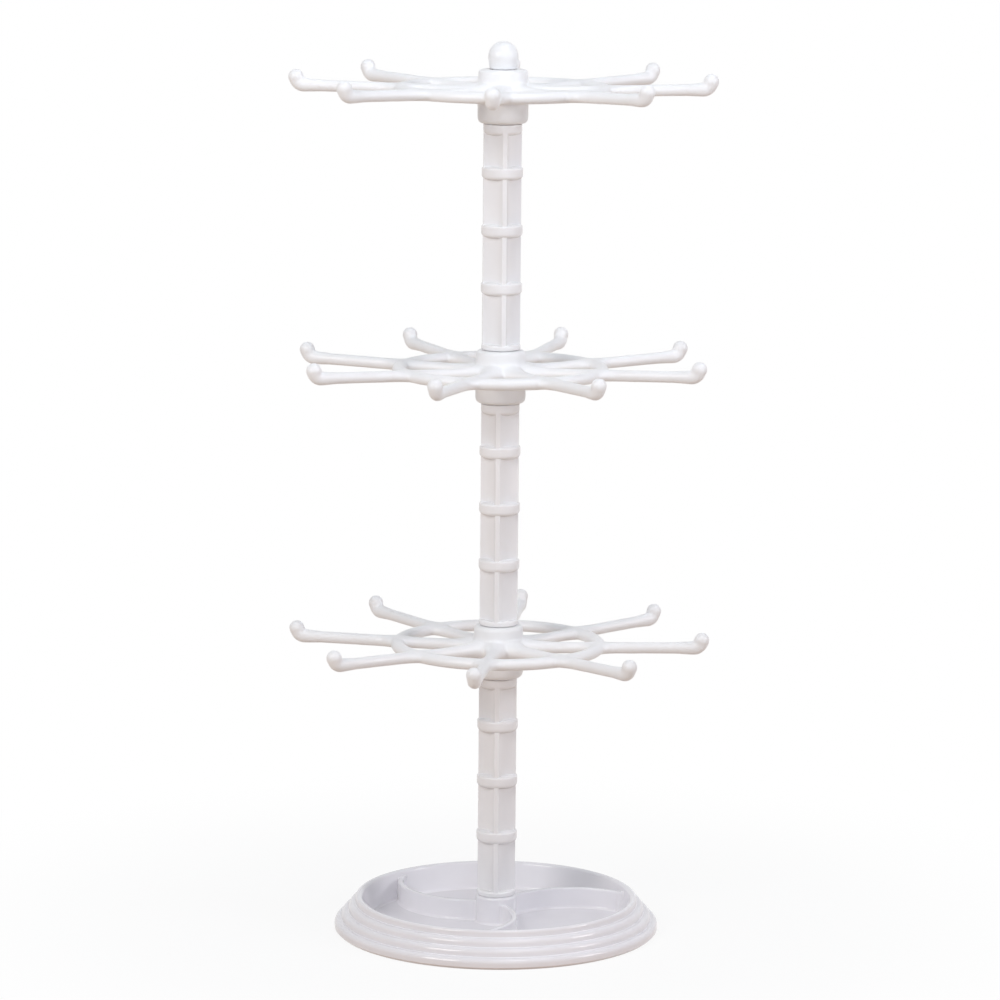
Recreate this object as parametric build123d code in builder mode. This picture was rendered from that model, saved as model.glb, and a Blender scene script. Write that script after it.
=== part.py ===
from build123d import *
import os
from math import acos, asin, cos, degrees, radians, sin, sqrt, tan

# Rotating jewelry stand: a dished base, three ribbed posts, three hook wheels and a top knob.
# Millimetres, +Z up, origin on the ground at the stand's turning axis. The front faces -Y.

# Base tray
base_radius = 67.1  # widest radius, round the bottom band
band_height = 4.5  # height of the bottom band
terrace_height = 3.3  # rise of each terrace above the band
terrace_depth = 2.9  # how far each terrace sets in
terrace_count = 2  # terraces between the band and the rim
rim_height = 3.0  # rise of the rim above the last terrace
rim_width = 2.5  # crest of the rim, from outside to inside
foot_bevel = 1.0  # bevel round the standing edge
tray_wall = 2.0
floor_top = 3.0  # level of the dish's floor
dish_flare = 2.9  # how far the inner wall leans outwards, from the floor to the rim

# Tray dividers, arcs that swirl from the boss to the rim
divider_count = 3
divider_thickness = 2.2
divider_height = 8.6  # above the floor
divider_radius = 32.4  # of the arc
divider_offset = 1.9  # how far the arc's line passes from the axis
divider_azimuth = 103.5  # direction from the axis to the first arc's centre

# Boss in the middle of the tray, and the plugs that hold the stack together
boss_radius = 8.4
boss_height = 11.5  # above the floor
boss_round = 1.2
plug_radius = 2.5
plug_length = 8.0
plug_lead = 0.5  # bevel on a plug's end
plug_clearance = 0.05  # round a plug
plug_end_gap = 0.4  # beyond a plug's end

# Posts, three of the same moulding
post_length = 92.0  # from flange to shoulder
rib_count = 4
rib_radius = 7.8
rib_crest = 1.8  # width of a rib's crest
rib_crest_round = 0.5
flute_radius = 11.7  # of the hollow between neighbouring ribs
flange_radius = 8.0
flange_thickness = 2.3
collar_radius = 7.9
collar_height = 4.2
post_band_count = 3
post_band_radius = 8.4
post_band_start = 22.7  # from the flange's bottom to the first band's
post_band_pitch = 23.5  # from band to band
post_band_height = 4.8
journal_radius = 4.5  # the wheel turns on this
post_yaws = {"lower_post": -2.0, "middle_post": -6.0, "upper_post": 8.0}

# Hook wheels, three of the same moulding
hub_height = 21.9
hub_top_radius = 10.1
hub_collar_radius = 10.3
hub_flare_radius = 12.0  # where the arms spring from
hub_round = 1.4
arm_level = 12.5  # arms' centre line above the hub's bottom, where it leaves the hub
arm_climb = 1.7  # degrees by which the arms rise outwards
arm_radius = 2.35
arm_root_radius = 3.6
arm_root_length = 11.0  # from the hub to where the arm has slimmed down
hook_count = 8
hook_reach = 84.0  # distance of the balls' centres from the axis
hook_bend_radius = 3.3
hook_bend_angle = 88.0  # from the arm's own direction
ball_radius = 3.0
ring_radius = 44.2  # outside of the ring
ring_width = 5.5
ring_thickness = 4.8
bore_clearance = 0.08  # round the journal
axial_play = 0.15  # above and below each hub
wheel_azimuths = {"lower_hook_wheel": -6.5, "middle_hook_wheel": -17.7, "upper_hook_wheel": -2.8}

# Knob
knob_radius = 6.1
knob_height = 11.1
knob_bevel = 0.4

# Levels and radii that follow from the sizes above
rim_radius = base_radius - (terrace_count + 1) * terrace_depth
rim_level = band_height + terrace_count * terrace_height + rim_height
dish_top_radius = rim_radius - rim_width
dish_radius = dish_top_radius - dish_flare
dish_slope = dish_flare / (rim_level - floor_top)
under_floor = floor_top - tray_wall
boss_top = floor_top + boss_height
socket_radius = plug_radius + plug_clearance
socket_depth = plug_length + plug_end_gap
journal_length = hub_height + 2 * axial_play
tier_pitch = post_length + journal_length
bore_radius = journal_radius + bore_clearance

UPWARDS = (Align.CENTER, Align.CENTER, Align.MIN)


def corner(sketch, radius, level):
    """The corner of a profile that lies at this radius and level."""
    return sketch.vertices().sort_by_distance((radius, level))[0]


def inner_wall(level, outwards=0.0):
    """Radius of the dish's sloping wall at a level, moved outwards into the wall."""
    return dish_radius + dish_slope * (level - floor_top) + outwards


def arm_height(radius):
    """Level of an arm's centre line at this distance from the axis, above the hub's bottom."""
    return arm_level + (radius - hub_top_radius) * tan(radians(arm_climb))


def plug(level):
    """A bevelled plug that stands on the axis at this level, in the part that is being built."""
    with Locations((0, 0, level)):
        Cylinder(plug_radius, plug_length, align=UPWARDS)
    chamfer(faces().sort_by(Axis.Z)[-1].edges(), plug_lead)


def place(piece, name, level, yaw=0.0):
    """Writes a copy of a piece, lifted to its level and turned about the axis."""
    with BuildPart() as placed:
        with Locations(Location((0, 0, level), (0, 0, yaw))):
            add(piece)
    placed.part.label = name
    export_step(placed.part, f"parts/{name}.step")


# Base tray: the dividers, trimmed within the sloping wall, then the shell with its boss, then the plug
terrace_radii = [base_radius - step * terrace_depth for step in range(terrace_count + 1)]
terrace_tops = [band_height + step * terrace_height for step in range(terrace_count + 1)]
hollow_top = terrace_tops[-1] - tray_wall
outside = [(base_radius - foot_bevel, 0), (base_radius, foot_bevel)]
hollow = [(base_radius - tray_wall, 0)]
for radius, top in zip(terrace_radii, terrace_tops):
    outside += [(radius, top), (radius - terrace_depth, top)]
    hollow += [(radius - tray_wall, top - tray_wall), (radius - terrace_depth - tray_wall, top - tray_wall)]
hollow[-1] = (inner_wall(hollow_top, tray_wall), hollow_top)
hollow.append((inner_wall(under_floor, tray_wall), under_floor))

centre_distance = divider_radius + divider_offset
divider_end = dish_top_radius + tray_wall
end_cosine = centre_distance**2 + divider_radius**2 - divider_end**2
divider_sweep = degrees(acos(end_cosine / (2 * centre_distance * divider_radius)))
divider_centre = Vector(centre_distance, 0).rotate(Axis.Z, divider_azimuth)

with BuildPart() as base_tray:
    with BuildSketch(Plane.XY.offset(under_floor)):
        divider_line = CenterArc(
            divider_centre, divider_radius, divider_azimuth + 180, -divider_sweep, mode=Mode.PRIVATE
        )
        with PolarLocations(0, divider_count):
            SlotArc(divider_line, divider_thickness)
    extrude(amount=tray_wall + divider_height)
    with BuildSketch(Plane.XZ):
        with BuildLine():
            Polyline(
                (0, under_floor),
                (inner_wall(under_floor, tray_wall / 2), under_floor),
                (inner_wall(rim_level, tray_wall / 2), rim_level),
                (0, rim_level),
                close=True,
            )
        make_face()
    revolve(axis=Axis.Z, mode=Mode.INTERSECT)
    with BuildSketch(Plane.XZ) as shell:
        with BuildLine():
            Polyline(
                *outside,
                (rim_radius, rim_level),
                (dish_top_radius, rim_level),
                (dish_radius, floor_top),
                (boss_radius, floor_top),
                (boss_radius, boss_top),
                (0, boss_top),
                (0, under_floor),
                *reversed(hollow),
                close=True,
            )
        make_face()
        fillet([corner(shell, r, z) for r, z in zip(terrace_radii, terrace_tops)], 0.7 * terrace_depth)
        fillet([corner(shell, r, rim_level) for r in (rim_radius, dish_top_radius)], 0.45 * rim_width)
        fillet(corner(shell, boss_radius, boss_top), boss_round)
    revolve(axis=Axis.Z)
    plug(boss_top)

# Post, standing on its flange: a shaft with hollow flutes, then all that is round on it, then the socket
flute_azimuth = 180 / rib_count  # from a rib to the flute beside it
crest_angle = degrees(asin(rib_crest / 2 / rib_radius))
flute_span = radians(flute_azimuth - crest_angle)
flute_distance = rib_radius * cos(flute_span) + sqrt(flute_radius**2 - (rib_radius * sin(flute_span)) ** 2)
rings = [(0, flange_radius, flange_thickness), (post_length - collar_height, collar_radius, collar_height)]
for step in range(post_band_count):
    rings.append((post_band_start + step * post_band_pitch, post_band_radius, post_band_height))

with BuildPart() as post:
    with BuildSketch() as ribs:
        with PolarLocations(0, 1, start_angle=flute_azimuth):
            Circle(rib_radius)
        with PolarLocations(flute_distance, rib_count, start_angle=flute_azimuth):
            Circle(flute_radius, mode=Mode.SUBTRACT)
        fillet(ribs.vertices(), rib_crest_round)
    extrude(amount=post_length)
    for level, radius, height in rings:
        with BuildSketch(Plane.XZ) as ring:
            with Locations((0, level)):
                Rectangle(radius, height, align=(Align.MIN, Align.MIN))
            fillet([corner(ring, radius, z) for z in (level, level + height)], 0.3 * height)
        revolve(axis=Axis.Z)
    with Locations((0, 0, post_length)):
        Cylinder(journal_radius, journal_length, align=UPWARDS)
    plug(post_length + journal_length)
    Cylinder(socket_radius, socket_depth, align=UPWARDS, mode=Mode.SUBTRACT)

# Hook: one arm along +X, thick where it leaves the hub, bent up at its end to a ball
arm_pitch = radians(arm_climb)
tip_pitch = radians(arm_climb + hook_bend_angle)
arm_start = bore_radius + arm_radius
bend_start = hook_reach - hook_bend_radius * (sin(tip_pitch) - sin(arm_pitch))
ball_level = arm_height(bend_start) + hook_bend_radius * (cos(arm_pitch) - cos(tip_pitch))
ring_level = arm_height(ring_radius - ring_width / 2)
root_stretch = 1.3  # the root's cone runs on into the arm, past where the two surfaces meet
arm_core_radius = arm_root_radius - root_stretch * (arm_root_radius - arm_radius)

with BuildPart() as hook:
    with BuildLine(Plane.XZ) as arm_line:
        run = Line((arm_start, arm_height(arm_start)), (bend_start, arm_height(bend_start)))
        JernArc(run @ 1, run % 1, hook_bend_radius, hook_bend_angle)
    with BuildSketch(arm_line.line ^ 0):
        Circle(arm_radius)
    sweep(path=arm_line.wires()[0])
    with Locations((hook_reach, 0, ball_level)):
        Sphere(ball_radius)
    with Locations(Location((hub_top_radius, 0, arm_level), (0, 90 - arm_climb, 0))):
        Cone(arm_root_radius, arm_core_radius, arm_root_length * root_stretch, align=UPWARDS)

# Hook wheel, from the bottom of its hub: bored hub and ring, then the hooks one by one
with BuildPart() as hook_wheel:
    with BuildSketch(Plane.XZ) as hub:
        with BuildLine():
            Polyline(
                (bore_radius, 0),
                (hub_collar_radius, 0),
                (hub_collar_radius, arm_level - arm_root_radius),
                (hub_flare_radius, arm_level),
                (hub_top_radius, arm_level + arm_root_radius),
                (hub_top_radius, hub_height),
                (bore_radius, hub_height),
                close=True,
            )
        make_face()
        fillet([corner(hub, hub_collar_radius, 0), corner(hub, hub_top_radius, hub_height)], hub_round)
        fillet(corner(hub, hub_flare_radius, arm_level), hub_round)
        with Locations((ring_radius - ring_width / 2, ring_level)):
            SlotOverall(ring_width, ring_thickness)
    revolve(axis=Axis.Z)
    for spot in PolarLocations(0, hook_count).locations:
        with Locations(spot):
            add(hook.part)

# Knob, standing on the last journal
with BuildPart() as knob:
    with BuildSketch(Plane.XZ) as dome:
        Rectangle(knob_radius, knob_height, align=(Align.MIN, Align.MIN))
        fillet(corner(dome, knob_radius, knob_height), knob_radius - 0.01)
        chamfer(corner(dome, knob_radius, 0), knob_bevel)
    revolve(axis=Axis.Z)
    Cylinder(socket_radius, socket_depth, align=UPWARDS, mode=Mode.SUBTRACT)

os.makedirs("parts", exist_ok=True)
place(base_tray.part, "base_tray", 0)
for tier, (name, yaw) in enumerate(post_yaws.items()):
    place(post.part, name, boss_top + tier * tier_pitch, yaw)
for tier, (name, azimuth) in enumerate(wheel_azimuths.items()):
    place(hook_wheel.part, name, boss_top + post_length + axial_play + tier * tier_pitch, azimuth)
place(knob.part, "top_knob", boss_top + len(post_yaws) * tier_pitch)
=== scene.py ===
# %% [markdown]
# # A turning jewelry stand in glossy white plastic
#
# The stand is a stack of mouldings: a dished tray, three ribbed posts, three hook wheels that turn on
# the posts, and a knob that keeps the last wheel down. A measured model of it is loaded first and stays
# fixed. It says where each piece is. The cells below then give each piece its finished, softly rounded
# shape, a plastic finish, and a camera, lamps and floor to see it by.

# %% Load the measured frame
import math
import bmesh
import bpy
from mathutils import Matrix, Vector


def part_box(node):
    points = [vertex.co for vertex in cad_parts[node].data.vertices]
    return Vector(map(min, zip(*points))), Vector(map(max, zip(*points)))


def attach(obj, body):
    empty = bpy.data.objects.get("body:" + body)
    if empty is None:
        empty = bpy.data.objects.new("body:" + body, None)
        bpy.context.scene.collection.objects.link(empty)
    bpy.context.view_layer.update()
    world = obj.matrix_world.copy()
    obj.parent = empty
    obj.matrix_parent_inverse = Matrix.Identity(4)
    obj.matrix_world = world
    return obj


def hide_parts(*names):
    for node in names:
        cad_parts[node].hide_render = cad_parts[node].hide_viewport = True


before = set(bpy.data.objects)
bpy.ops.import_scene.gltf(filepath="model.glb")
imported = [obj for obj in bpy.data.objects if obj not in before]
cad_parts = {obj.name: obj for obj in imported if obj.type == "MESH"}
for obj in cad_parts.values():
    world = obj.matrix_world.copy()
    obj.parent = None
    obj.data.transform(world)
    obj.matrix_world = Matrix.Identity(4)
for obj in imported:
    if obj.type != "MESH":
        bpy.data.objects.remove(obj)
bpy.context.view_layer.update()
MM = 0.001

# %% [markdown]
# ## Tools of the bench
#
# Most of these mouldings are round, so they are made as on a lathe: half of a section is drawn as a line
# of straight runs, its corners are rounded, and the line is spun about the axis. A section is drawn by
# pulling one vertex along with extrude. Sections are written in millimetres, as radius and level, because
# that is how a drawing of the part would give them.

# %% Select by place
def clear_selection():
    """Leaves edit mode and deselects every object, so that the next operator finds its own piece alone."""
    if bpy.context.object and bpy.context.object.mode != "OBJECT":
        bpy.ops.object.mode_set(mode="OBJECT")
    bpy.ops.object.select_all(action="DESELECT")


def pick_vertices(piece, wanted):
    """Selects, in edit mode, the vertices whose place in millimetres passes a test."""
    bpy.ops.mesh.select_mode(type="VERT")
    bpy.ops.mesh.select_all(action="DESELECT")
    sheet = bmesh.from_edit_mesh(piece.data)
    for vertex in sheet.verts:
        vertex.select_set(wanted(vertex.co / MM))
    sheet.select_flush_mode()
    bmesh.update_edit_mesh(piece.data)


# %% Draw a section, round its corners and spin it
def draw_section(name, points):
    """A new piece, in edit mode: straight runs through (radius, level) points in millimetres."""
    clear_selection()
    bpy.ops.mesh.primitive_plane_add(size=MM)
    piece = bpy.context.object
    piece.name = name
    bpy.ops.object.mode_set(mode="EDIT")
    bpy.ops.mesh.select_mode(type="VERT")
    bpy.ops.mesh.select_all(action="SELECT")
    bpy.ops.mesh.merge(type="CENTER")
    corners = [Vector((radius, 0, level)) * MM for radius, level in points]
    bpy.ops.transform.translate(value=corners[0])
    for here, there in zip(corners, corners[1:]):
        bpy.ops.mesh.extrude_region_move(TRANSFORM_OT_translate={"value": there - here})
    return piece


def round_corners(piece, points, size, segments=5):
    """Rounds the corners of a section that lie at these (radius, level) points."""
    spots = [Vector((radius, 0, level)) for radius, level in points]
    pick_vertices(piece, lambda co: any((co - spot).length < 0.01 for spot in spots))
    bpy.ops.mesh.bevel(affect="VERTICES", offset=size * MM, segments=segments)


def spin_section(piece, steps=192):
    """Turns a section about the axis into a closed round piece and leaves edit mode."""
    bpy.ops.mesh.select_all(action="SELECT")
    bpy.ops.mesh.spin(steps=steps, angle=math.tau, center=(0, 0, 0), axis=(0, 0, 1))
    bpy.ops.mesh.select_all(action="SELECT")
    bpy.ops.mesh.remove_doubles(threshold=0.002 * MM)
    bpy.ops.mesh.normals_make_consistent(inside=False)
    bpy.ops.object.mode_set(mode="OBJECT")
    return piece


# %% Join, weld and smooth
def join_pieces(name, pieces):
    """Makes one object of several."""
    clear_selection()
    for piece in pieces:
        piece.select_set(True)
    bpy.context.view_layer.objects.active = pieces[0]
    bpy.ops.object.join()
    pieces[0].name = name
    return pieces[0]


def apply_modifier(piece, kind, **settings):
    """Adds a modifier, sets it and applies it."""
    clear_selection()
    bpy.context.view_layer.objects.active = piece
    piece.select_set(True)
    modifier = piece.modifiers.new(kind.lower(), kind)
    for setting, value in settings.items():
        setattr(modifier, setting, value)
    bpy.ops.object.modifier_apply(modifier=modifier.name)


def weld(piece, other, operation="UNION"):
    """Unites two closed pieces, or cuts the second out of the first, and removes the second."""
    apply_modifier(piece, "BOOLEAN", object=other, operation=operation, solver="EXACT")
    bpy.data.objects.remove(other)


def smooth_shading(piece, angle=35):
    """Smooth shading, with hard edges kept where faces meet at more than this many degrees."""
    clear_selection()
    piece.select_set(True)
    bpy.context.view_layer.objects.active = piece
    bpy.ops.object.shade_smooth_by_angle(angle=math.radians(angle))


def place_copy(piece, name, level, turn=0.0):
    """A copy of a piece, turned about the axis and lifted, with its place in its own mesh."""
    clear_selection()
    piece.select_set(True)
    bpy.context.view_layer.objects.active = piece
    bpy.ops.object.duplicate()
    copy = bpy.context.object
    copy.name = name
    copy.location.z = level
    copy.rotation_euler.z = math.radians(turn)
    bpy.ops.object.transform_apply(location=True, rotation=True, scale=True)
    return copy


def triangles(piece):
    """How many triangles a piece has."""
    return sum(len(face.vertices) - 2 for face in piece.data.polygons)


# %% [markdown]
# ## Camera
#
# The photograph was taken from a little above, with a long lens from about two metres away, and its
# horizon leans by half a degree. The camera is made first, so that every later step can be compared with
# the photograph.

# %% Place the camera
camera_place = Vector((0.195, -1845.4, 493.5)) * MM
camera_tilt = 9.625  # degrees below the horizon
camera_roll = 0.503  # degrees
focal_pixels = 4564.8
frame_pixels = 1000.0

bpy.ops.object.camera_add()
camera = bpy.context.object
camera.name = "photo_camera"
look = Matrix.Rotation(math.radians(90 - camera_tilt), 4, "X")
look = look @ Matrix.Rotation(math.radians(camera_roll), 4, "Z")
camera.matrix_world = Matrix.Translation(camera_place) @ look
camera.data.sensor_width = 36.0
camera.data.lens = focal_pixels / frame_pixels * camera.data.sensor_width
bpy.context.scene.camera = camera
print("lens", round(camera.data.lens, 1), "mm")

# %% [markdown]
# ## Tray
#
# The base is one thin shell: an outer wall that climbs in rounded terraces, a rounded rim, a wall that
# leans in to a flat floor, and a boss in the middle that carries the lowest post. All of that is round,
# so it is spun from one section, down the outside and back along the hollow underneath.

# %% Sizes of the tray
tray_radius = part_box("base_tray")[1].x / MM
plug_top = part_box("base_tray")[1].z / MM
post_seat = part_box("lower_post")[0].z / MM
band_height = 4.5
terrace_height = 3.3
terrace_depth = 2.9
terrace_count = 2
rim_height = 3.0
rim_width = 2.5
foot_bevel = 1.0
tray_wall = 2.0
floor_level = 3.0
dish_flare = 2.9
boss_radius = 8.4
boss_round = 1.2
plug_radius = 2.5
plug_round = 0.5
tread_round = 0.35
floor_fillet = 1.0
tread_lap = 1.0  # of the last tread over the dish's wall, underneath

rim_level = band_height + terrace_count * terrace_height + rim_height
rim_radius = tray_radius - (terrace_count + 1) * terrace_depth
dish_top = rim_radius - rim_width
dish_radius = dish_top - dish_flare
under_floor = floor_level - tray_wall
print("tray radius", round(tray_radius, 2), "rim", round(rim_level, 2), "boss", round(post_seat, 2))

# %% Spin the tray's shell
terraces = [(tray_radius - step * terrace_depth, band_height + step * terrace_height)
            for step in range(terrace_count + 1)]
treads = [(radius - terrace_depth, top) for radius, top in terraces]
inside = [(radius - tray_wall, top - tray_wall) for radius, top in terraces]
last_tread = (dish_radius + tray_wall + tread_lap, terraces[-1][1] - tray_wall)

def dish_wall(level):
    """Radius of the dish's leaning wall at a level."""
    return dish_radius + dish_flare * (level - floor_level) / (rim_level - floor_level)


outline = [(0, plug_top), (plug_radius, plug_top), (plug_radius, post_seat), (boss_radius, post_seat)]
outline += [(boss_radius, floor_level), (dish_radius, floor_level), (dish_top, rim_level)]
outline += [(rim_radius, rim_level)]
for tread, shoulder in zip(reversed(treads), reversed(terraces)):
    outline += [tread, shoulder]
outline += [(tray_radius, foot_bevel), (tray_radius - foot_bevel, 0), (tray_radius - tray_wall, 0)]
for radius, top in inside:
    outline += [(radius, top), (radius - terrace_depth, top)]
outline[-1] = last_tread
outline += [(dish_radius + tray_wall, under_floor), (0, under_floor)]

tray = draw_section("tray", outline)
round_corners(tray, terraces, 0.7 * terrace_depth, segments=6)
round_corners(tray, treads, tread_round, segments=3)
round_corners(tray, [(rim_radius, rim_level), (dish_top, rim_level)], 0.48 * rim_width, segments=6)
round_corners(tray, [(boss_radius, post_seat)], boss_round)
round_corners(tray, [(boss_radius, floor_level), (dish_radius, floor_level)], floor_fillet)
round_corners(tray, [(plug_radius, plug_top)], plug_round, segments=2)
spin_section(tray)
print("tray shell", triangles(tray), "triangles")

# %% [markdown]
# ## Dividers
#
# Three curved walls swirl from the boss to the rim and part the dish in three. Each follows an arc, so
# its upright section, with a rounded top and a hollow foot, is spun about the arc's own centre. Where a
# wall runs into the boss and the dish's wall it thickens in small hollow fillets, and its top climbs a
# little. The spun wall has many thin slices, so its vertices can be moved out there along the curve of a
# fillet.

# %% Spin one divider along its arc
divider_count = 3
divider_thickness = 2.2
divider_height = 8.6
divider_radius = 32.4
divider_offset = 1.9
divider_azimuth = 103.5
foot_spread = 1.6  # how far the foot reaches out on each side, under the floor's surface
foot_sink = 0.04  # how far under

half = divider_thickness / 2
divider_top = floor_level + divider_height
foot_top = floor_level - foot_sink
foot_low = floor_level - 0.6 * tray_wall
near_side = divider_offset - half
section = [(near_side - foot_spread, foot_low), (near_side - foot_spread, foot_top)]
section += [(near_side, foot_top), (near_side, divider_top)]
section += [(2 * divider_offset - across, level) for across, level in reversed(section)]

arc_centre = divider_radius + divider_offset
arc_end = dish_top + tray_wall
arc_cosine = (arc_centre**2 + divider_radius**2 - arc_end**2) / (2 * arc_centre * divider_radius)
arc_turn = math.acos(arc_cosine)

divider = draw_section("divider", section + section[:1])
bpy.ops.mesh.select_all(action="SELECT")
bpy.ops.mesh.remove_doubles(threshold=0.002 * MM)
round_corners(divider, section[3:5], 0.75 * half)
round_corners(divider, [section[2], section[5]], 0.8 * foot_spread)
bpy.ops.mesh.select_all(action="SELECT")
bpy.ops.mesh.edge_face_add()
bpy.ops.mesh.spin(steps=140, angle=arc_turn, center=(arc_centre * MM, 0, 0), axis=(0, 0, 1))
bpy.ops.mesh.select_all(action="SELECT")
bpy.ops.mesh.normals_make_consistent(inside=False)
bpy.ops.object.mode_set(mode="OBJECT")
print("divider turns through", round(math.degrees(arc_turn), 1), "degrees")

# %% Swell its ends in hollow fillets
wall_fillet = 0.7
wall_climb = 2.0
climb_share = 0.3  # of a full fillet's height
boss_fillet = 1.0


def fillet_spread(distance, size):
    """How far a hollow fillet of this size stands out, at this distance from the face it runs into."""
    gap = max(0.0, size - max(0.0, distance))
    return size - math.sqrt(size**2 - gap**2)


for vertex in divider.data.vertices:
    level = vertex.co.z / MM
    spoke = Vector((vertex.co.x - arc_centre * MM, vertex.co.y, 0))
    side = max(-1.0, min(1.0, (spoke.length / MM - divider_radius) / half))
    from_axis = math.hypot(vertex.co.x, vertex.co.y) / MM
    to_wall = dish_wall(level) - from_axis
    to_boss = from_axis - boss_radius
    spread = max(fillet_spread(to_wall, wall_fillet), fillet_spread(to_boss, boss_fillet))
    vertex.co += spoke.normalized() * side * spread * MM
    if level > divider_top - half:
        middle = Vector((arc_centre, 0, 0)) + spoke.normalized() * divider_radius
        to_rim = dish_wall(divider_top) - middle.length
        vertex.co.z += climb_share * fillet_spread(to_rim, wall_climb) * MM
print("divider", triangles(divider), "triangles")

# %% Trim the dividers within the wall and weld them to the tray
trim_low = foot_low - 0.1
trim_high = rim_level - 0.2
trim_corners = [(dish_wall(level) + tray_wall / 2, level) for level in (trim_low, trim_high)]
trim = draw_section("trim", [(0, trim_low), *trim_corners, (0, trim_high)])
weld(divider, spin_section(trim), "INTERSECT")
for step in range(divider_count):
    weld(tray, place_copy(divider, "divider_copy", 0, divider_azimuth + 360 / divider_count * step))
bpy.data.objects.remove(divider)
smooth_shading(tray)
apply_modifier(tray, "WEIGHTED_NORMAL", keep_sharp=True)
print("tray", triangles(tray), "triangles")

# %% [markdown]
# ## Posts
#
# A post is a long shaft with four hollow flutes between narrow ribs, held together by three barrel-shaped
# bands, a flange below and a collar above. The shaft is an upright prism: a cylinder, from which four
# larger cylinders cut the flutes. Its ribs are then rounded with a bevel along their edges. The round
# parts are spun and welded on.

# %% Cut the flutes out of the shaft
axial_play = 0.15  # between a post's collar and the wheel above it
post_length = (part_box("lower_hook_wheel")[0].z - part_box("lower_post")[0].z) / MM - axial_play
rib_count = 4
rib_radius = 7.8
rib_crest = 1.8
rib_crest_round = 0.8
flute_radius = 11.7

flute_azimuth = math.pi / rib_count
flute_span = flute_azimuth - math.asin(rib_crest / 2 / rib_radius)
flute_distance = rib_radius * math.cos(flute_span)
flute_distance += math.sqrt(flute_radius**2 - (rib_radius * math.sin(flute_span)) ** 2)


def upright_cylinder(name, radius, low, high, sides, aside=0.0, turn=0.0):
    """A cylinder between two levels, moved aside from the axis along a direction."""
    clear_selection()
    middle = Vector((aside * math.cos(turn), aside * math.sin(turn), (low + high) / 2))
    bpy.ops.mesh.primitive_cylinder_add(
        vertices=sides, radius=radius * MM, depth=(high - low) * MM, location=middle * MM
    )
    cylinder = bpy.context.object
    cylinder.name = name
    bpy.ops.object.transform_apply(location=True, rotation=True, scale=True)
    return cylinder


post = upright_cylinder("post", rib_radius, 1, post_length - 1, 128)  # ends inside flange and collar
for step in range(rib_count):
    turn = flute_azimuth * (2 * step + 1)
    flute = upright_cylinder("flute", flute_radius, -1, post_length + 1, 192, flute_distance, turn)
    weld(post, flute, "DIFFERENCE")

# the ribs' upright edges are the only long sharp ones
bpy.ops.object.mode_set(mode="EDIT")
bpy.ops.mesh.select_mode(type="EDGE")
bpy.ops.mesh.select_all(action="DESELECT")
sheet = bmesh.from_edit_mesh(post.data)
for edge in sheet.edges:
    upright = abs(edge.verts[0].co.z - edge.verts[1].co.z) > 0.9 * post_length * MM
    edge.select_set(upright and edge.calc_face_angle(0) > math.radians(30))
sheet.select_flush_mode()
bmesh.update_edit_mesh(post.data)
bpy.ops.mesh.bevel(affect="EDGES", offset=rib_crest_round * MM, segments=4)
bpy.ops.object.mode_set(mode="OBJECT")
print("post length", round(post_length, 2), "shaft triangles", triangles(post))

# %% Spin the flange, bands, collar, journal and plug, and weld them on
flange_radius = 8.0
flange_height = 2.3
disc_round = 0.7
core_radius = rib_radius - 3  # well inside the shaft
collar_radius = 7.9
collar_height = 4.2
collar_slope = 0.4  # by which its lower edge drops to the shaft, and rises to the outside
collar_low_round = 1.2
collar_high_round = 0.3
band_count = 3
band_radius = 8.4
band_start = 22.7
band_pitch = 23.5
post_band_height = 4.6
band_low_round = 1.7
band_high_round = 0.5
band_slope = 0.7  # by which a band's top rises to the shaft
journal_radius = 4.5
socket_depth = 8.4
socket_radius = plug_radius + 0.05
socket_round = 0.2
post_top = (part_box("lower_post")[1].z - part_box("lower_post")[0].z) / MM
journal_top = (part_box("middle_post")[0].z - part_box("lower_post")[0].z) / MM


def spun_disc(name, radius, low, high, low_round, high_round):
    """A solid disc between two levels, with its two edges rounded."""
    disc = draw_section(name, [(0, high), (radius, high), (radius, low), (0, low)])
    round_corners(disc, [(radius, low)], low_round, segments=6)
    round_corners(disc, [(radius, high)], high_round, segments=6)
    return spin_section(disc, steps=96)


discs = [spun_disc("flange", flange_radius, 0, flange_height, disc_round, disc_round)]
for step in range(band_count):
    low = band_start + step * band_pitch
    high = low + post_band_height
    edges = [(band_radius, low), (band_radius, high), (core_radius, high + band_slope)]
    band = draw_section("band", [(0, low), *edges, (0, high + band_slope)])
    round_corners(band, edges[:1], band_low_round, segments=6)
    round_corners(band, edges[1:2], band_high_round)
    discs.append(spin_section(band, steps=96))
collar_low = post_length - collar_height
head = [(0, collar_low - collar_slope), (core_radius, collar_low - collar_slope)]
head += [(collar_radius, collar_low + collar_slope), (collar_radius, post_length)]
head += [(journal_radius, post_length), (journal_radius, journal_top), (plug_radius, journal_top)]
collar = draw_section("collar", head + [(plug_radius, post_top), (0, post_top)])
round_corners(collar, head[2:3], collar_low_round)
round_corners(collar, head[3:4], collar_high_round, segments=3)
round_corners(collar, [(plug_radius, post_top)], plug_round, segments=2)
discs.append(spin_section(collar, steps=96))
weld(post, join_pieces("post_discs", discs))
weld(post, spun_disc("socket", socket_radius, -1, socket_depth, socket_round, socket_round), "DIFFERENCE")
smooth_shading(post)
print("post", triangles(post), "triangles")

# %% Stand the three posts on each other
post_turns = {"lower_post": -2.0, "middle_post": -6.0, "upper_post": 8.0}
posts = {}
for node, turn in post_turns.items():
    posts[node] = place_copy(post, node + "_moulding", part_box(node)[0].z, turn)
bpy.data.objects.remove(post)
print("posts", sorted(posts))

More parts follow.
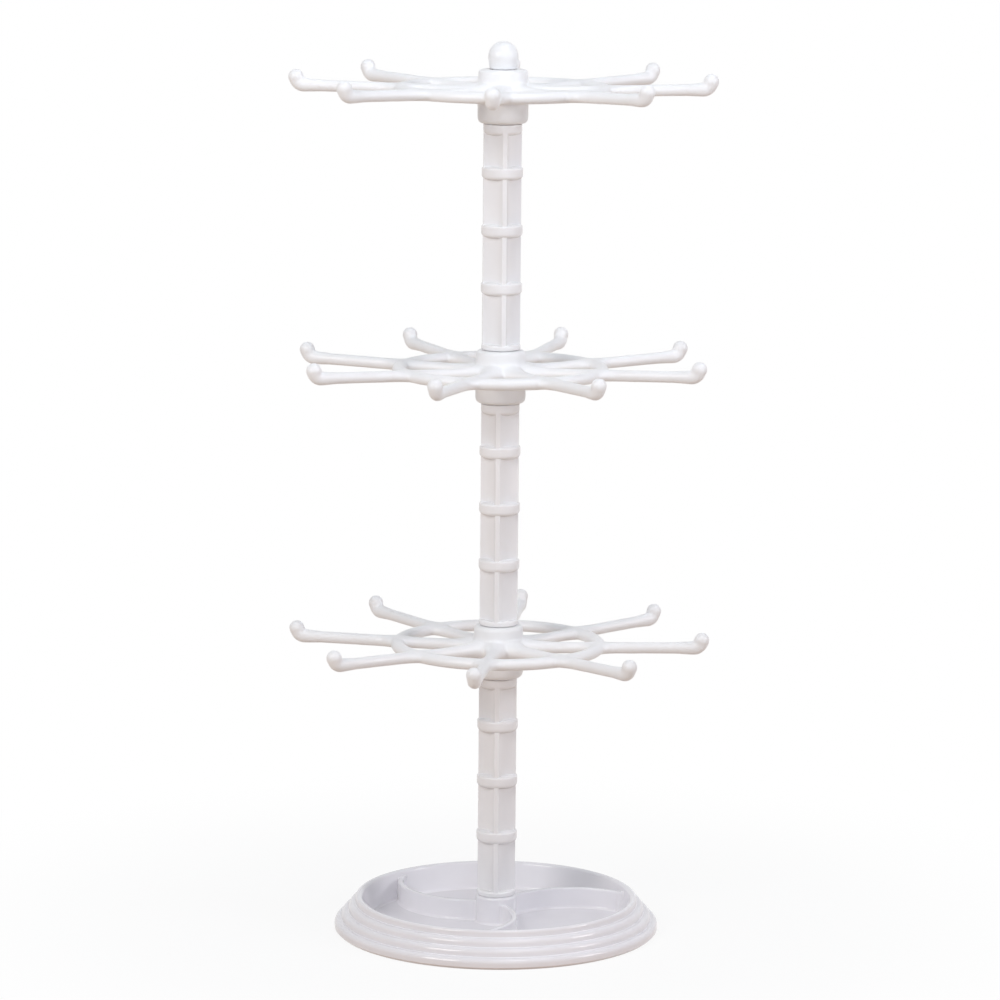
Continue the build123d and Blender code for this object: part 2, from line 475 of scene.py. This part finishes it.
# %% [markdown]
# ## Hook wheels
#
# A wheel is one moulding: a hub that turns on the post, eight arms that end in upturned balls, and a ring
# that ties the arms together. On the real one nothing meets at a sharp edge, because plastic has to flow
# round every corner of the mould. The arms, ring and hub are made one by one, laid into each other, and
# then remeshed as one skin whose corners are smoothed into fillets.

# %% Spin the hub and shape the ring
hub_height = (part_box("lower_hook_wheel")[1].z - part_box("lower_hook_wheel")[0].z) / MM
bore_radius = 4.9
hub_top_radius = 10.1
hub_collar_radius = 10.3
hub_flare_radius = 12.4
hub_low_round = 2.2
hub_high_round = 1.4
hub_flare_round = 1.5
arm_level = 12.5  # of an arm's middle line, where it leaves the hub
arm_climb = math.radians(1.7)
arm_radius = 2.4
arm_root = 3.9
ring_radius = 44.3
ring_width = 5.6
ring_thickness = 4.9


def arm_line(reach):
    """Level of an arm's middle line at this distance from the axis, above the hub's bottom."""
    return arm_level + (reach - hub_top_radius) * math.tan(arm_climb)


skirt = [(hub_collar_radius, 0), (hub_collar_radius, arm_level - arm_root)]
skirt += [(hub_flare_radius, arm_level)]
crown = [(hub_top_radius, arm_level + arm_root), (hub_top_radius, hub_height)]
bore = [(bore_radius, hub_height), (bore_radius, 0)]
hub = draw_section("hub", bore[1:] + skirt + crown + bore)
bpy.ops.mesh.select_all(action="SELECT")
bpy.ops.mesh.remove_doubles(threshold=0.002 * MM)
round_corners(hub, [skirt[0]], hub_low_round)
round_corners(hub, [crown[1]], hub_high_round)
round_corners(hub, [skirt[2]], hub_flare_round)
spin_section(hub, steps=128)

ring_middle = ring_radius - ring_width / 2
clear_selection()
bpy.ops.mesh.primitive_torus_add(
    major_radius=ring_middle * MM,
    minor_radius=ring_width / 2 * MM,
    major_segments=192,
    minor_segments=24,
)
ring = bpy.context.object
bpy.ops.object.mode_set(mode="EDIT")
bpy.ops.mesh.select_all(action="SELECT")
bpy.ops.transform.resize(value=(1, 1, ring_thickness / ring_width), center_override=(0, 0, 0))
bpy.ops.transform.translate(value=(0, 0, arm_line(ring_middle) * MM))
bpy.ops.object.mode_set(mode="OBJECT")
print("hub height", round(hub_height, 2), "ring level", round(arm_line(ring_middle), 2))

# %% Pull out one arm, bend it up and set its ball
hook_count = 8
hook_reach = 84.0
bend_radius = 3.3
bend_angle = math.radians(88)
ball_radius = 3.2
neck_radius = 2.85

bend_start = hook_reach - bend_radius * (math.sin(arm_climb + bend_angle) - math.sin(arm_climb))
bend_rise = bend_radius * (math.cos(arm_climb) - math.cos(arm_climb + bend_angle))
ball_level = arm_line(bend_start) + bend_rise
root_reach = 8.0
arm_stations = [  # distance from the axis, half height, half width
    (root_reach, arm_root, 6.0),
    (11.0, arm_root, 5.6),
    (13.0, 3.4, 4.4),
    (16.0, 2.9, 3.4),
    (20.0, 2.6, 2.8),
    (26.0, arm_radius, arm_radius),
    (ring_middle - 8.7, arm_radius, arm_radius),
    (ring_middle - 6.2, arm_radius, 2.9),
    (ring_middle - 4.2, arm_radius, 4.0),
    (ring_middle - 2.4, arm_radius, 5.6),
    (ring_middle, 2.5, 7.0),
    (ring_middle + 2.6, arm_radius, 5.6),
    (ring_middle + 4.4, arm_radius, 4.0),
    (ring_middle + 6.4, arm_radius, 2.9),
    (ring_middle + 8.8, arm_radius, arm_radius),
    (bend_start - 7.0, arm_radius, arm_radius),
    (bend_start, neck_radius, neck_radius),
]

clear_selection()
bpy.ops.mesh.primitive_circle_add(
    vertices=32,
    radius=arm_root * MM,
    fill_type="NGON",
    location=(root_reach * MM, 0, arm_line(root_reach) * MM),
    rotation=(0, math.pi / 2, 0),
)
arm = bpy.context.object
bpy.ops.object.transform_apply(location=True, rotation=True, scale=True)
bpy.ops.object.mode_set(mode="EDIT")
bpy.ops.mesh.select_all(action="SELECT")
tall, wide = arm_root, arm_root
here = Vector((root_reach, 0, arm_line(root_reach)))
for reach, next_tall, next_wide in arm_stations:
    there = Vector((reach, 0, arm_line(reach)))
    bpy.ops.mesh.extrude_region_move(TRANSFORM_OT_translate={"value": (there - here) * MM})
    bpy.ops.transform.resize(value=(1, next_wide / wide, next_tall / tall), center_override=there * MM)
    here, tall, wide = there, next_tall, next_wide
bend_centre = here + bend_radius * Vector((-math.sin(arm_climb), 0, math.cos(arm_climb)))
bpy.ops.mesh.spin(steps=10, angle=bend_angle, center=bend_centre * MM, axis=(0, 1, 0))
bpy.ops.mesh.select_all(action="SELECT")
bpy.ops.mesh.remove_doubles(threshold=0.002 * MM)
bpy.ops.mesh.normals_make_consistent(inside=False)
bpy.ops.object.mode_set(mode="OBJECT")
clear_selection()
bpy.ops.mesh.primitive_uv_sphere_add(
    segments=32, ring_count=20, radius=ball_radius * MM, location=(hook_reach * MM, 0, ball_level * MM)
)
ball = bpy.context.object
bpy.ops.object.transform_apply(location=True, rotation=True, scale=True)
arm = join_pieces("arm", [arm, ball])
print("arm reaches", round(hook_reach + ball_radius, 1), "ball level", round(ball_level, 2))

# %% Lay the arms into hub and ring and remesh them as one skin
skin_step = 0.48
skin_passes = 12  # of smoothing
arms = [place_copy(arm, "arm_copy", 0, 360 / hook_count * step) for step in range(hook_count)]
bpy.data.objects.remove(arm)
wheel = join_pieces("wheel", [hub, ring, *arms])
apply_modifier(wheel, "REMESH", mode="VOXEL", voxel_size=skin_step * MM, use_smooth_shade=True)
apply_modifier(wheel, "SMOOTH", factor=0.5, iterations=skin_passes)
clear_selection()
wheel.select_set(True)
bpy.context.view_layer.objects.active = wheel
bpy.ops.object.shade_smooth()
print("wheel", triangles(wheel), "triangles")

# %% Put a wheel on each post
wheel_turns = {"lower_hook_wheel": -6.5, "middle_hook_wheel": -17.7, "upper_hook_wheel": -2.8}
wheels = {}
for node, turn in wheel_turns.items():
    wheels[node] = place_copy(wheel, node + "_moulding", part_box(node)[0].z, turn)
bpy.data.objects.remove(wheel)
print("wheels", sorted(wheels))

# %% [markdown]
# ## Knob
#
# A small domed cap is pushed onto the last plug and keeps the top wheel from lifting off. It is spun like
# the tray: a straight side that runs into a full round dome, with a fine bevel at its foot.

# %% Spin the knob
knob_low, knob_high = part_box("top_knob")
knob_radius = knob_high.x / MM
knob_height = (knob_high.z - knob_low.z) / MM
knob_waist = 4.0  # level above which its side is upright
knob_taper = 0.6
socket = [(socket_radius, 0), (socket_radius, socket_depth), (0, socket_depth)]
cap = [(0, knob_height), (knob_radius, knob_height)]
cap += [(knob_radius, knob_waist), (knob_radius - knob_taper, 0)]

knob_shape = draw_section("knob_shape", cap + socket)
round_corners(knob_shape, [cap[1]], 0.998 * knob_radius, segments=24)
round_corners(knob_shape, [cap[2]], 0.9)
round_corners(knob_shape, [cap[3]], 0.4, segments=3)
spin_section(knob_shape, steps=96)
smooth_shading(knob_shape)
knob = place_copy(knob_shape, "top_knob_moulding", knob_low.z)
bpy.data.objects.remove(knob_shape)
print("knob", triangles(knob), "triangles")

# %% [markdown]
# ## Finish
#
# The whole stand is the same white plastic, moulded glossy on the tray and posts and a little duller on
# the wheels. The tray's copy is set a little darker and more lilac than the others, which is painted shade
# and a painted lilac cast of the light. Such a surface is never quite even: its tone drifts a little where
# the plastic cooled slower, its gloss is broken by fine wipe marks, and it has the faint orange peel of
# the mould. Three noise textures on the piece's own coordinates give these, each at its own scale.

# %% Mix the plastic
def moulded_plastic(name, pale, deep, dullest):
    """White glossy plastic: a tone that drifts, a gloss with wipe marks, and a faint orange peel."""
    material = bpy.data.materials.new(name)
    material.use_nodes = True
    nodes, links = material.node_tree.nodes, material.node_tree.links
    shader = nodes["Principled BSDF"]
    place = nodes.new("ShaderNodeTexCoord")

    def noise(scale, detail, stretch=(1, 1, 1)):
        mapping = nodes.new("ShaderNodeMapping")
        mapping.inputs["Scale"].default_value = stretch
        texture = nodes.new("ShaderNodeTexNoise")
        texture.inputs["Scale"].default_value = scale
        texture.inputs["Detail"].default_value = detail
        links.new(place.outputs["Object"], mapping.inputs["Vector"])
        links.new(mapping.outputs["Vector"], texture.inputs["Vector"])
        return texture.outputs["Fac"]

    tone = nodes.new("ShaderNodeValToRGB")
    tone.color_ramp.elements[0].position = 0.35
    tone.color_ramp.elements[0].color = (*deep, 1)
    tone.color_ramp.elements[1].position = 0.65
    tone.color_ramp.elements[1].color = (*pale, 1)
    links.new(noise(45, 3), tone.inputs["Fac"])
    links.new(tone.outputs["Color"], shader.inputs["Base Color"])

    gloss = nodes.new("ShaderNodeMapRange")
    gloss.inputs["From Min"].default_value = 0.3
    gloss.inputs["From Max"].default_value = 0.7
    gloss.inputs["To Min"].default_value = 0.6 * dullest
    gloss.inputs["To Max"].default_value = dullest
    links.new(noise(160, 4, (1, 1, 0.25)), gloss.inputs["Value"])
    links.new(gloss.outputs["Result"], shader.inputs["Roughness"])

    peel = nodes.new("ShaderNodeBump")
    peel.inputs["Strength"].default_value = 0.04
    peel.inputs["Distance"].default_value = 0.05 * MM
    links.new(noise(700, 2), peel.inputs["Height"])
    links.new(peel.outputs["Normal"], shader.inputs["Normal"])
    shader.inputs["IOR"].default_value = 1.5
    return material


# painted shade: the tray's colours are darker and more lilac than the same plastic elsewhere
tray_plastic_painted_shade = moulded_plastic("tray_plastic_painted_shade", (0.855, 0.84, 0.87), (0.825, 0.81, 0.84), 0.15)
post_plastic = moulded_plastic("post_plastic", (0.88, 0.87, 0.88), (0.85, 0.84, 0.85), 0.22)
wheel_plastic = moulded_plastic("wheel_plastic", (0.88, 0.88, 0.89), (0.85, 0.85, 0.86), 0.47)
print("plastics", [m.name for m in (tray_plastic_painted_shade, post_plastic, wheel_plastic)])

# %% Dress the pieces and let them ride on their bodies
def dress(piece, node, material, body):
    """Gives a piece its finish, lets it stand for its node and ride on that node's body."""
    piece.data.materials.clear()
    piece.data.materials.append(material)
    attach(piece, body)
    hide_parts(node)


tray.name = "base_tray_moulding"
dress(tray, "base_tray", tray_plastic_painted_shade, "stand")
dress(knob, "top_knob", wheel_plastic, "stand")
for node, piece in posts.items():
    dress(piece, node, post_plastic, "stand")
for node, piece in wheels.items():
    dress(piece, node, wheel_plastic, node.replace("_hook", ""))

# %% [markdown]
# ## Floor and light
#
# The photograph shows the stand on plain white. The floor is a pale sheet that shows white to the camera
# and in reflections, and still takes the stand's soft shadow, which fades out a hand's breadth from the
# tray. For all other light it is a warm pale table, which throws a creamy tone up under the hubs. A large
# soft lamp stands in front on the left, a weaker one on the right, a narrow cool one shines on the upper
# tiers, and a wide one hangs overhead, which brightens the shelves on the bands.

# %% Lay the floor
shadow_share = 0.12  # how much of the lit sheet shows beside the tray, the rest is plain white
shadow_start = 0.08  # metres from the axis, where the white begins to take over
shadow_end = 0.30  # and where it is all white

clear_selection()
bpy.ops.mesh.primitive_plane_add(size=60.0)
floor = bpy.context.object
floor.name = "floor"

paper = bpy.data.materials.new("white_floor")
paper.use_nodes = True
nodes, links = paper.node_tree.nodes, paper.node_tree.links
nodes.remove(nodes["Principled BSDF"])


def seen_directly(nodes, links):
    """One for what the camera sees straight, in a gloss or through glass, and nought for other light."""
    path = nodes.new("ShaderNodeLightPath")
    total = path.outputs["Is Camera Ray"]
    for ray in ("Is Glossy Ray", "Is Transmission Ray"):
        adder = nodes.new("ShaderNodeMath")
        adder.operation = "ADD"
        adder.use_clamp = True
        links.new(total, adder.inputs[0])
        links.new(path.outputs[ray], adder.inputs[1])
        total = adder.outputs["Value"]
    return total


place = nodes.new("ShaderNodeTexCoord")
distance = nodes.new("ShaderNodeVectorMath")
distance.operation = "LENGTH"
whiteness = nodes.new("ShaderNodeMapRange")
whiteness.interpolation_type = "SMOOTHSTEP"
whiteness.inputs["From Min"].default_value = shadow_start
whiteness.inputs["From Max"].default_value = shadow_end
whiteness.inputs["To Min"].default_value = 1 - shadow_share
links.new(place.outputs["Object"], distance.inputs[0])
links.new(distance.outputs["Value"], whiteness.inputs["Value"])

table = nodes.new("ShaderNodeBsdfDiffuse")
table.inputs["Color"].default_value = (0.66, 0.51, 0.40, 1)
sheet = nodes.new("ShaderNodeBsdfDiffuse")
sheet.inputs["Color"].default_value = (0.9, 0.9, 0.9, 1)
white = nodes.new("ShaderNodeEmission")
shown = nodes.new("ShaderNodeMixShader")
whole = nodes.new("ShaderNodeMixShader")
links.new(whiteness.outputs["Result"], shown.inputs["Fac"])
links.new(sheet.outputs["BSDF"], shown.inputs[1])
links.new(white.outputs["Emission"], shown.inputs[2])
links.new(seen_directly(nodes, links), whole.inputs["Fac"])
links.new(table.outputs["BSDF"], whole.inputs[1])
links.new(shown.outputs["Shader"], whole.inputs[2])
links.new(whole.outputs["Shader"], nodes["Material Output"].inputs["Surface"])
floor.data.materials.append(paper)
print("floor", floor.dimensions.x, "m wide")

# %% Hang the lamps and set the sky
def soft_lamp(name, place, aim, size, watts, colour, spread=180):
    """A square soft lamp that looks at a point and spreads its light over this many degrees."""
    bpy.ops.object.light_add(type="AREA", location=place)
    lamp = bpy.context.object
    lamp.name = name
    lamp.data.size = size
    lamp.data.energy = watts
    lamp.data.color = colour
    lamp.data.spread = math.radians(spread)
    lamp.rotation_euler = (Vector(aim) - Vector(place)).to_track_quat("-Z", "Y").to_euler()


stand_middle = (0, 0, 0.22)
stand_top = (0, 0, 0.36)
soft_lamp("front_lamp", (-0.8, -0.9, 0.8), stand_middle, 0.55, 7.0, (1.0, 0.97, 0.95))
soft_lamp("side_lamp", (1.3, -0.4, 0.65), stand_middle, 0.45, 5.4, (0.99, 0.96, 1.0))
soft_lamp("upper_lamp", (0.1, -0.9, 0.55), stand_top, 0.4, 0.16, (0.70, 0.85, 1.0), 40)
soft_lamp("ceiling_lamp", (0.3, -0.4, 1.45), stand_middle, 0.6, 4.0, (0.97, 0.98, 1.0))

sky = bpy.data.worlds.new("soft_sky")
bpy.context.scene.world = sky
sky.use_nodes = True
nodes, links = sky.node_tree.nodes, sky.node_tree.links
light_sky = nodes["Background"]
light_sky.inputs["Color"].default_value = (0.90, 0.94, 1.0, 1)
light_sky.inputs["Strength"].default_value = 0.38
white_sky = nodes.new("ShaderNodeBackground")
white_sky.inputs["Color"].default_value = (1, 1, 1, 1)
both = nodes.new("ShaderNodeMixShader")
links.new(seen_directly(nodes, links), both.inputs["Fac"])
links.new(light_sky.outputs["Background"], both.inputs[1])
links.new(white_sky.outputs["Background"], both.inputs[2])
links.new(both.outputs["Shader"], nodes["World Output"].inputs["Surface"])
bpy.context.scene.view_settings.view_transform = "Standard"
